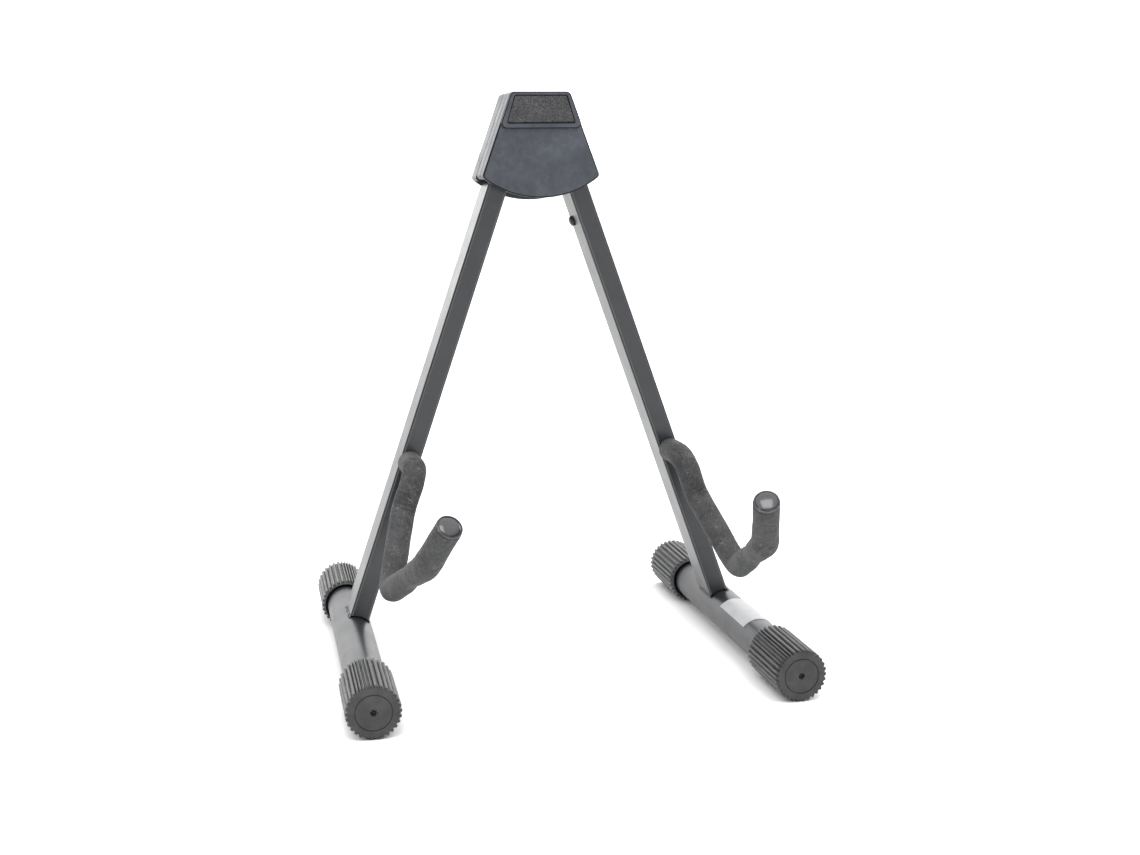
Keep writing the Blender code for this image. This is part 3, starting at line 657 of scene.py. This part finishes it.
# ---- screws, bolts, washers, nuts, bushes ------------------------------------------------------------------
def hardware():
    under = HEAD_REAR_N - 1.1
    for side, name in SIDES:
        at = along_n(side * PIVOT_X, PIVOT_U)
        button = [(0.8, under - 2.75)] + quarter(3.2, under - 2.75, 4.75, under - 0.9, 6, False)
        button += [(4.75, under - 0.2), (4.55, under), (BOLT_R, under), (BOLT_R, 22.9), (BOLT_R - 0.5, 23.4)]
        bolt = thing("bolt", lofted(turned(button, 48), at))
        combined(bolt, [("DIFFERENCE", lofted([circle(1.75, z, 6) for z in (under - 5, under - 1.3)], at))])
        finished(bolt, f"bolt_{name}", "head", "zinc_steel", f"pivot_bolt_{name}", soften=0.12)

        washer = [(5.0, under + 0.25), (5.0, HEAD_REAR_N - 0.25), (4.8, HEAD_REAR_N - 0.05),
                  (BOLT_HOLE_R, HEAD_REAR_N - 0.05), (BOLT_HOLE_R, under + 0.05), (4.8, under + 0.05)]
        made = thing("washer", lofted(turned(washer, 64), at, wrap=True))
        finished(made, f"washer_{name}", "head", "zinc_steel", f"pivot_washer_{name}")

        def hexagon(inset, z):
            corners = [Vector(p) for p in circle(NUT_R - inset, z, 6)]
            return [tuple(corners[i].lerp(corners[(i + 1) % 6], k / 8)) for i in range(6) for k in range(8)]

        low, high = NUT_LOW_N, NUT_HIGH_N
        rings = [hexagon(0.35, low), hexagon(0, low + 0.3), hexagon(0, high - 0.3), hexagon(0.35, high)]
        rings += [circle(r, z, 48) for r, z in (
            (2.9, high), (NUT_HOLE_R, high - 0.3), (NUT_HOLE_R, low + 0.3), (2.9, low))]
        made = thing("nut", lofted(rings, at, wrap=True))
        finished(made, f"nut_{name}", "head", "zinc_steel", f"pivot_nut_{name}")

        through = pivot_frame(side)
        half = LEG_D / 2 + 0.08
        bush = [(BUSH_R - 0.2, -half), (BUSH_R, -half + 0.2), (BUSH_R, half - 0.2), (BUSH_R - 0.2, half),
                (BUSH_BORE_R + 0.2, half), (BUSH_BORE_R, half - 0.2), (BUSH_BORE_R, 0.2 - half),
                (BUSH_BORE_R + 0.2, -half)]
        made = thing("bush", lofted(turned(bush, 48), through, wrap=True))
        finished(made, f"bush_{name}", f"{name}_leg", "nylon", f"pivot_bush_{name}")

    post = along_n(0, SCREW_U)
    pan = [(0.6, HEAD_REAR_N - 2.3)] + quarter(1.4, HEAD_REAR_N - 2.3, 3.3, HEAD_REAR_N - 0.9, 6, False)
    pan += [(3.3, HEAD_REAR_N - 0.2), (3.15, HEAD_REAR_N - 0.05), (1.45, HEAD_REAR_N - 0.05)]
    pan += [(1.45, 4.0), (0.3, 6.5)]
    screw = thing("screw", lofted(turned(pan, 40), post))
    w, d = 0.35, 1.7
    outline = [(-d, -w), (d, -w), (d, w), (-d, w)]
    slot = [flat(outline, HEAD_REAR_N - 4), flat(outline, HEAD_REAR_N - 1.2)]
    spins = (Matrix.Rotation(turn, 4, "Z") for turn in (0, math.pi / 2))
    combined(screw, [("DIFFERENCE", lofted(slot, post @ spin)) for spin in spins])
    finished(screw, "cover_screw_head", "head", "zinc_steel", "cover_screw", soften=0.08)


# ---- the legs ---------------------------------------------------------------------------------------------
def leg_outline(inset):
    w, d = LEG_W / 2 - inset, LEG_D / 2 - inset
    r = max(LEG_CORNER - inset, 0.3)
    corners = rounded([(-w, -d, r), (w, -d, r), (w, d, r), (-w, d, r)], 7)
    outline = []
    for (x0, y0), (x1, y1) in zip(corners, corners[1:] + corners[:1]):
        parts = 10 if math.hypot(x1 - x0, y1 - y0) > 3 else 1
        outline += [(x0 + (x1 - x0) * k / parts, y0 + (y1 - y0) * k / parts) for k in range(parts)]
    return outline


def coped(side, outline, radius):
    """The outline's points, each at the height where it meets this radius round the foot tube's axis."""
    to_foot = foot_frame(side).inverted() @ leg_frame(side)
    ring = []
    for x, y in outline:
        low, high = 0.0, 3 * FOOT_R
        for _ in range(40):
            z = (low + high) / 2
            p = to_foot @ Vector((x, y, z))
            low, high = (low, z) if math.hypot(p.x, p.y) > radius else (z, high)
        ring.append((x, y, z))
    return ring


def weld(side, edge):
    """A bead of overlapping ripples along one side of the foot joint, with a tail round the front corner."""
    pitch, steps, around = 1.55, 132, 20
    start, stop = -LEG_D / 2 - 0.5, LEG_D / 2 + 0.2
    rings = []
    for k in range(steps + 1):
        s = k / steps
        y = start + (stop - start) * s
        ripple = abs(math.sin(math.pi * y / pitch + 0.6 * rumple(7 + edge, (0, y, 0), 3)))
        ends = min(1.0, 5 * s + 0.25, 5 * (1 - s) + 0.25)
        r = (0.95 + 0.22 * ripple + 0.2 * rumple(11 + side, (edge * 9, y, 0), 4)) * math.sqrt(ends)
        x = edge * (LEG_W / 2 - 0.1 + 0.2 * rumple(13 + side, (edge * 5, y, 3), 5))
        z = 10.6 + 0.25 * rumple(17 + side, (edge * 3, y, 8), 4)
        ring = []
        for i in range(around):
            a = 2 * math.pi * i / around
            lump = 1 + 0.10 * rumple(19, (edge * 4 + math.cos(a) * 2, y, math.sin(a) * 2), 1.4, 1)
            ring.append((x + r * lump * math.cos(a), y, z + r * lump * math.sin(a)))
        rings.append(ring)
    return lofted(rings, leg_frame(side))


def leg(side, name):
    at = leg_frame(side)
    top = PIVOT_T + LEG_OVER
    gap = 0.42
    outer, lip, inner = leg_outline(0), leg_outline(0.45), leg_outline(LEG_WALL)
    rings = [coped(side, outer, FOOT_R + gap + 0.75), flat(outer, 60), flat(outer, 120), flat(outer, 240),
             flat(outer, top - 0.4), flat(leg_outline(0.35), top), flat(inner, top), flat(inner, 240),
             flat(inner, 60), coped(side, inner, FOOT_R + gap), coped(side, lip, FOOT_R + gap),
             coped(side, leg_outline(0.12), FOOT_R + gap + 0.35)]
    tube = thing("leg", lofted(rings, at, wrap=True))
    hole = turned([(BUSH_R + 0.1, -20), (BUSH_R + 0.1, 20)], 48)
    foot_room = turned([(FOOT_R + 0.06, -40), (FOOT_R + 0.06, 40)], 128)
    combined(tube, [("DIFFERENCE", lofted(hole, pivot_frame(side))),
                    ("UNION", weld(side, -1)), ("UNION", weld(side, 1)),
                    ("DIFFERENCE", lofted(foot_room, foot_frame(side)))])
    return finished(tube, f"leg_{name}", f"{name}_leg", "powder_black", f"leg_tube_{name}", sharp=40)


def foot(side, name):
    ends = (-(FOOT_BACK - CAP_END - 0.3), FOOT_FRONT - CAP_END - 0.3)
    bore = FOOT_R - FOOT_WALL
    profile = [(FOOT_R - 0.3, ends[0]), (FOOT_R, ends[0] + 0.3)]
    profile += [(FOOT_R, ends[0] + (ends[1] - ends[0]) * k / 12) for k in range(1, 12)]
    profile += [(FOOT_R, ends[1] - 0.3), (FOOT_R - 0.3, ends[1]), (bore, ends[1]), (bore, ends[0])]
    tube = thing("foot", lofted(turned(profile, 128), foot_frame(side), wrap=True))
    return finished(tube, f"foot_{name}", f"{name}_leg", "powder_black", f"foot_tube_{name}",
                    paint="duller_black")


# ---- the rubber caps --------------------------------------------------------------------------------------
RIB_POINTS = 14
CREST, FLANK = 0.34, 0.46  # half widths of a rib's top and of its flank, as shares of half the pitch
GATE_R = 1.9  # the moulding gate's torn hole in the end face


def rib_places(side):
    """(angle, how far from its rib's middle) of each point round a cap, from the groove at the bottom."""
    total = round(360 / RIB_PITCH) - round(FINE_RIBS * FINE_PITCH / RIB_PITCH)
    before = FINE_AFTER[side]
    places, at = [], -90.0
    for width in [RIB_PITCH] * before + [FINE_PITCH] * FINE_RIBS + [RIB_PITCH] * (total - before):
        for k in range(RIB_POINTS):
            share = (k + 0.5) / RIB_POINTS
            places.append((math.radians(at - width * share), abs(2 * share - 1)))
        at -= width
    return places


def ribbed(places, height, base, z):
    """A ring of rounded ribs: height 0 is the groove floor, 1 the full rib, base the groove's radius."""
    ring = []
    for angle, across in places:
        rise = 1 - min(1.0, max(0.0, (across - CREST) / FLANK))
        rise = rise * rise * (3 - 2 * rise)
        crown = 1 - 0.12 * min(1.0, across / CREST) ** 2
        r = base + (CAP_R - CAP_ROOT_R) * rise * crown * height
        ring.append((r * math.cos(angle), r * math.sin(angle), z))
    return ring


def cap(side, name, front):
    """A ribbed rubber cap, its mouth at Z 0 and its closed end at Z = CAP_LENGTH."""
    if front:
        at = foot_frame(side) @ Matrix.Translation((0, 0, FOOT_FRONT - CAP_LENGTH))
    else:
        turn = Matrix.Rotation(math.pi, 4, "Y")
        at = foot_frame(side) @ Matrix.Translation((0, 0, CAP_LENGTH - FOOT_BACK)) @ turn
    places, end, root = rib_places(side), CAP_LENGTH, CAP_ROOT_R
    seed = 23 + side + 4 * front

    def ring(radius, z):
        return [(radius * math.cos(angle), radius * math.sin(angle), z) for angle, _ in places]

    rings = [ring(r, z) for r, z in (
        (0.5, end - CAP_END), (CAP_BORE_R, end - CAP_END), (CAP_BORE_R, 4.0),
        (CAP_MOUTH_R - 0.1, 3.0), (CAP_MOUTH_R, 0.3), (CAP_MOUTH_R + 0.2, 0.0),
        (CAP_LIP_R - 0.2, 0.0), (CAP_LIP_R, 0.25), (CAP_LIP_R, 1.2))]
    rings += [ribbed(places, h, b, z) for h, b, z in (
        (0.0, CAP_LIP_R + 0.1, 1.3), (0.75, root, 1.4), (0.93, root, 1.65), (1.0, root, 2.1))]
    rings += [ribbed(places, 1.0, root, 2.1 + (end - 3.4) * k / 20) for k in range(1, 20)]
    rings += [ribbed(places, h, b, z) for h, b, z in (
        (1.0, root, end - 1.2), (0.9, root - 0.02, end - 0.7), (0.7, root - 0.08, end - 0.3),
        (0.45, root - 0.18, end - 0.08), (0.2, root - 0.35, end))]
    face = [(14.2, 0.0), (12.5, 0.0), (11.25, 0.0)]
    face += [(11.0, -0.08), (10.85, -0.55), (10.55, -0.55), (10.4, -0.06)]  # the thin ring
    face += [(10.05, 0.0), (8.0, 0.0), (5.5, 0.0), (4.0, 0.0), (3.0, 0.04), (2.6, 0.10), (2.3, 0.18)]
    face += [(1.9, 0.05), (1.5, -0.55), (1.0, -1.2), (0.3, -1.3)]  # the gate's hole
    rings += [ring(r, end + z) for r, z in face]
    bent = []
    for points in rings:
        made = []
        for x, y, z in points:
            r = math.hypot(x, y)
            torn = max(0.0, 1 - abs(r - 1.9) / 1.5) if z > end - 2 else 0.0
            z += 0.6 * torn * rumple(seed, (x, y, z), 0.9, 2)
            if r < GATE_R and z > end - 2:
                star = 1 + 0.35 * math.cos(5 * math.atan2(y, x) + seed) * r / GATE_R
                x, y = x * star, y * star
            if r > CAP_LIP_R + 0.3:
                give = 1 + (0.05 * rumple(seed, (x, y, z), 2.5) + 0.05 * rumple(seed + 1, (x, y, z), 9)) / r
                x, y = x * give, y * give
            made.append((x, y, z))
        bent.append(made)
    made = thing("cap", lofted(bent, at))
    # How much painted shade each point gets: between the ribs, in the thin ring and in the gate's hole,
    # stored as the groove attribute.
    to_cap, shade_amounts = at.inverted(), []
    for vert in made.data.vertices:
        p = to_cap @ vert.co
        r = math.hypot(p.x, p.y)
        between_ribs = (CAP_R - 0.45 - r) / 0.6 if r > root - 0.2 and 1.3 < p.z < end - 0.2 else 0.0
        in_ring = 0.35 if 10.4 < r < 10.95 and p.z < end - 0.3 else 0.0
        in_gate = 1.0 if r < 1.6 else 0.0
        shade_amounts.append(min(1.0, max(0.0, between_ribs, in_ring, in_gate)))
    groove = made.data.attributes.new("groove", "FLOAT", "POINT")
    groove.data.foreach_set("value", shade_amounts)
    where = "front" if front else "rear"
    return finished(made, f"cap_{where}_{name}", f"{name}_leg", "cap_rubber", f"{where}_cap_{name}", sharp=50)


# ---- the arms ---------------------------------------------------------------------------------------------
def arm_points(side, degrees=4):
    """The arm's middle line as (n, along) points, with its bends rounded."""
    line = [Vector(ARM_PATH[0])]
    for before, here, after, radius in zip(ARM_PATH, ARM_PATH[1:], ARM_PATH[2:], ARM_BENDS):
        a, b = (Vector(p) - Vector(here) for p in (before, after))
        half = a.angle(b) / 2
        reach = min(radius / math.tan(half), 0.49 * a.length, 0.49 * b.length)
        bend = reach * math.tan(half)
        centre = Vector(here) + (a.normalized() + b.normalized()).normalized() * bend / math.sin(half)
        start = Vector(here) + a.normalized() * reach - centre
        stop = Vector(here) + b.normalized() * reach - centre
        turn = start.angle_signed(stop)
        steps = max(2, math.ceil(abs(turn) / math.radians(degrees)))
        for k in range(steps + 1):
            line.append(centre + Matrix.Rotation(-turn * k / steps, 2) @ start)
    end = Vector(ARM_PATH[-1])
    line.append(end + (end - line[-1]).normalized() * ARM_LONGER[side])
    return line


def spaced(line, gap):
    """The line again, with points about this far apart."""
    lengths = [0.0]
    for a, b in zip(line, line[1:]):
        lengths.append(lengths[-1] + (b - a).length)
    count = round(lengths[-1] / gap)
    points, i = [], 0
    for k in range(count + 1):
        want = lengths[-1] * k / count
        while i < len(line) - 2 and lengths[i + 1] < want:
            i += 1
        share = (want - lengths[i]) / (lengths[i + 1] - lengths[i])
        points.append(line[i].lerp(line[i + 1], min(share, 1.0)))
    return points


def section(line, i, radius, sides, shift=0.0):
    """A ring square to the line at its point i. radius may be a function of (angle, i)."""
    ahead = (line[min(i + 1, len(line) - 1)] - line[max(i - 1, 0)]).normalized()
    out = Vector((-ahead.y, ahead.x))
    ring = []
    for k in range(sides):
        a = 2 * math.pi * k / sides
        r = radius(a, i) if callable(radius) else radius
        n, t = line[i] + ahead * shift + out * r * math.sin(a)
        ring.append((r * math.cos(a), -n, t))
    return ring


WAIST_N = 136.0  # where the foam is drawn in between the two lower bends


def crease_at(side, n, t, x):
    """How much painted crease shade a point of the foam gets, from 0 to 1: short lines where the bends gather
    it.
    """
    total = 0.0
    for k, (pn, pt) in enumerate(ARM_PATH[1:5]):
        away = math.hypot(n - pn, t - pt)
        if away < 26:
            line = abs(rumple(51 + 3 * k + side, (n, t * 0.8, x * 0.35), 6.5, 2))
            total += max(0.0, 1 - line / 0.04) * (1 - away / 26) ** 0.5
    return min(0.55, total)


def sleeve(side, name):
    """The foam tube, its skin slightly wavy, gathered inside the bends."""
    line = spaced(arm_points(side), 0.9)
    last = len(line) - 1
    bends = []
    for i in range(len(line)):
        a, b, c = line[max(i - 6, 0)], line[i], line[min(i + 6, last)]
        bends.append((b - a).angle_signed(c - b) if 0 < i < last else 0.0)

    def radius(a, i):
        n, t = line[i]
        x, y = math.cos(a) * 7.5, math.sin(a) * 7.5
        wave = 0.22 * rumple(31 + side, (n + x, t + y, side * 40), 14) + 0.10 * rumple(37, (n, t + x, y), 4.5)
        inner = max(0.0, math.sin(a) * (-1 if bends[i] > 0 else 1)) * min(1.0, abs(bends[i]) / 0.45)
        gathered = 1.9 * inner * math.exp(-((n - ARM_PATH[3][0]) ** 2 + (t - ARM_PATH[3][1]) ** 2) / 11 ** 2)
        fold = -0.7 * inner * (0.5 + 0.5 * math.sin(2 * math.pi * i * 0.9 / 5.2 + side)) ** 2 + 0.15 * inner
        waist = -1.0 * math.exp(-((n - WAIST_N) / 11) ** 2) if t < 95 else 0.0
        puff = 0.45 * math.exp(-((n - ARM_PATH[4][0]) ** 2 + (t - ARM_PATH[4][1]) ** 2) / 14 ** 2)
        return SLEEVE_R + wave + gathered + fold + waist + puff

    start = [section(line, 0, SLEEVE_BORE_R + 0.4, 64), section(line, 0, SLEEVE_R - 0.6, 64),
             section(line, 0, SLEEVE_R - 0.15, 64, 0.2)]
    rings = start + [section(line, i, radius, 64) for i in range(1, last)]
    rings += [section(line, last, SLEEVE_R - 0.1, 64, -0.35), section(line, last, SLEEVE_R - 0.4, 64, -0.05),
              section(line, last, SLEEVE_R - 0.8, 64), section(line, last, SLEEVE_BORE_R, 64)]
    rings += [section(line, i, SLEEVE_BORE_R, 64) for i in range(last - 1, 0, -2)]
    made = thing("sleeve", lofted(rings, arm_frame(side), wrap=True))
    # Painted shade along short crease lines near the bends, stored as the groove attribute.
    painted_crease_shade = made.data.attributes.new("groove", "FLOAT", "POINT")
    to_arm = arm_frame(side).inverted()
    shade_amounts = []
    for vert in made.data.vertices:
        p = to_arm @ vert.co
        shade_amounts.append(crease_at(side, -p.y, p.z, p.x))
    painted_crease_shade.data.foreach_set("value", shade_amounts)
    finished(made, f"sleeve_{name}", f"{name}_leg", "sleeve_foam", f"arm_sleeve_{name}", sharp=60)


def rod(side, name):
    line = arm_points(side, 6)
    line[-1] -= (line[-1] - line[-2]).normalized() * 7.0
    line = [Vector((-LEG_D / 2 + LEG_WALL + 0.2, line[0].y)), Vector((12.0, line[0].y))] + line
    rings = [section(line, 0, ROD_R - 0.4, 24)]
    rings += [section(line, i, ROD_R, 24, 0.4 * (i == 0)) for i in range(len(line))]
    rings.append(section(line, len(line) - 1, ROD_R - 0.5, 24, 0.4))
    made = thing("rod", lofted(rings, arm_frame(side)))
    finished(made, f"rod_{name}", f"{name}_leg", "zinc_steel", f"arm_rod_{name}")


def tip(side, name):
    line = arm_points(side)
    back = line[-1] - line[-2]
    end = Vector((0, -line[-1].x, line[-1].y))
    turn = Vector((0, -back.x, back.y)).normalized().to_track_quat("Z", "Y").to_matrix().to_4x4()
    profile = [(2.5, -6.5), (2.95, -6.1), (3.05, -5.6), (3.05, 0.2), (TIP_R - 0.4, 0.2), (TIP_R - 0.15, 0.3)]
    profile += [(TIP_R, 0.5), (TIP_R, 0.8), (TIP_R - 0.2, 1.0), (TIP_R - 0.55, 0.95), (TIP_R - 0.8, 0.6)]
    profile += quarter(TIP_R - 0.95, 0.5, 0.2, TIP_HEIGHT, 16)
    made = thing("tip", lofted(turned(profile, 64), arm_frame(side) @ Matrix.Translation(end) @ turn))
    finished(made, f"tip_{name}", f"{name}_leg", "tip_plastic", f"arm_tip_{name}")


# ---- right leg only ---------------------------------------------------------------------------------------
def bumper():
    place = Matrix.Translation((-LEG_W / 2, BUMPER_Y, BUMPER_T))
    spot = leg_frame(1) @ place @ Matrix.Rotation(-math.pi / 2, 4, "Y")
    profile = [(0.5, -3.6), (0.9, -3.4), (1.4, -3.0), (1.4, 0.1)]
    profile += [(BUMPER_R - 0.2, 0.1), (BUMPER_R, 0.3), (BUMPER_R, 0.8)]
    profile += quarter(BUMPER_R, 0.8, 0.3, BUMPER_HEIGHT, 10)
    made = thing("bumper", lofted(turned(profile, 48), spot))
    finished(made, "bumper", "right_leg", "cap_rubber", "fold_bumper")


def label():
    """The paper label, a thin sheet wrapped on the tube, its corners lifting a little."""
    steps, lengths = 60, 40
    rings = []
    for j in range(lengths + 1):
        s = LABEL_START + (LABEL_STOP - LABEL_START) * j / lengths
        outer, inner = [], []
        for k in range(steps + 1):
            a = math.radians(LABEL_FIRST + (LABEL_LAST - LABEL_FIRST) * k / steps)
            edge = min(k, steps - k) / steps
            tip_edge = min(j, lengths - j) / lengths
            lift = 0.22 * max(0.0, 1 - 9 * edge) * max(0.0, 1 - 6 * tip_edge)
            r = FOOT_R + 0.06 + lift + 0.02 * rumple(41, (a * 10, s, 0), 6)
            outer.append(((r + LABEL_THICK) * math.sin(a), (r + LABEL_THICK) * math.cos(a), s))
            inner.append((r * math.sin(a), r * math.cos(a), s))
        rings.append(outer + inner[::-1])
    made = thing("label", lofted(rings, foot_frame(1)))
    finished(made, "paper_label", "right_leg", "label_paper", "foot_label", sharp=40)


front_shell()
rear_shell()
pad()
hardware()
for side, name in SIDES:
    leg(side, name)
    foot(side, name)
    cap(side, name, True)
    cap(side, name, False)
    rod(side, name)
    sleeve(side, name)
    tip(side, name)
bumper()
label()


# ---- floor, light and camera ------------------------------------------------------------------------------
BACK_GLOW, TOP_GLOW, FRONT_GLOW, SIDE_GLOW = 2.6, 2.3, 1.2, 0.26
SOFTBOXES = [  # name, place, width, height, power in watts
    ("over", (-0.1, -0.8, 1.7), 0.8, 0.8, 10),
    ("front_left", (-1.1, -0.75, 0.45), 0.22, 0.9, 4),
    ("right", (1.4, 0.55, 0.75), 0.5, 0.7, 6),
]
CAMERA_PLACE, CAMERA_LENS = (-0.2133, -0.9673, 0.3522), 50.51
CAMERA_FORWARD, CAMERA_UP = (0.22098, 0.95552, -0.19532), (0.04699, 0.18960, 0.98074)


def studio():
    """A pale floor under a soft white sky: bright above and behind, dimmer in front, darkest at the sides."""
    half = 12.0
    corners = [(-half, -half), (half, -half), (half, half), (-half, half)]
    mesh = bpy.data.meshes.new("floor")
    mesh.from_pydata([(x, y, 0) for x, y in corners], [], [(0, 1, 2, 3)])
    mesh.materials.append(floor_pale())
    thing("floor", mesh)

    world = bpy.data.worlds.new("studio")
    world.use_nodes = True
    bpy.context.scene.world = world
    nodes, links = world.node_tree.nodes, world.node_tree.links
    split = nodes.new("ShaderNodeSeparateXYZ")
    links.new(nodes.new("ShaderNodeTexCoord").outputs["Generated"], split.inputs["Vector"])

    def glow(axis, start, full, strength):
        """Light that grows along one axis of the direction."""
        ramp = nodes.new("ShaderNodeMapRange")
        ramp.interpolation_type = "SMOOTHSTEP"
        ramp.inputs["From Min"].default_value, ramp.inputs["From Max"].default_value = start, full
        ramp.inputs["To Min"].default_value, ramp.inputs["To Max"].default_value = 0.0, strength
        links.new(split.outputs[axis], ramp.inputs["Value"])
        return ramp.outputs["Result"]

    total = None
    for axis, start, full, strength in (
            ("Y", 0.62, 0.90, BACK_GLOW), ("Z", 0.35, 0.80, TOP_GLOW), ("Y", -0.75, -0.95, FRONT_GLOW)):
        node = nodes.new("ShaderNodeMath")
        node.operation = "MAXIMUM"
        node.inputs[0].default_value = SIDE_GLOW
        links.new(glow(axis, start, full, strength), node.inputs[1])
        if total:
            links.new(total, node.inputs[0])
        total = node.outputs[0]
    links.new(total, nodes["Background"].inputs["Strength"])
    nodes["Background"].inputs["Color"].default_value = (1, 1, 1, 1)

    for name, place, width, height, power in SOFTBOXES:
        light = bpy.data.lights.new(name, "AREA")
        light.shape, light.size, light.size_y, light.energy = "RECTANGLE", width, height, power
        lamp = thing(name, light)
        lamp.location = place
        aim = Vector((0, 0, 0.15)) - Vector(place)
        lamp.rotation_euler = aim.to_track_quat("-Z", "Y").to_euler()
        lamp.visible_camera = False


def camera():
    data = bpy.data.cameras.new("camera")
    data.sensor_width, data.lens = 36.0, CAMERA_LENS
    made = thing("camera", data)
    made.location = CAMERA_PLACE
    forward, up = Vector(CAMERA_FORWARD), Vector(CAMERA_UP)
    right = forward.cross(up)
    made.rotation_euler = Matrix((right, up, -forward)).transposed().to_euler()
    bpy.context.scene.camera = made


studio()
camera()
bpy.context.scene.view_settings.view_transform = "Standard"
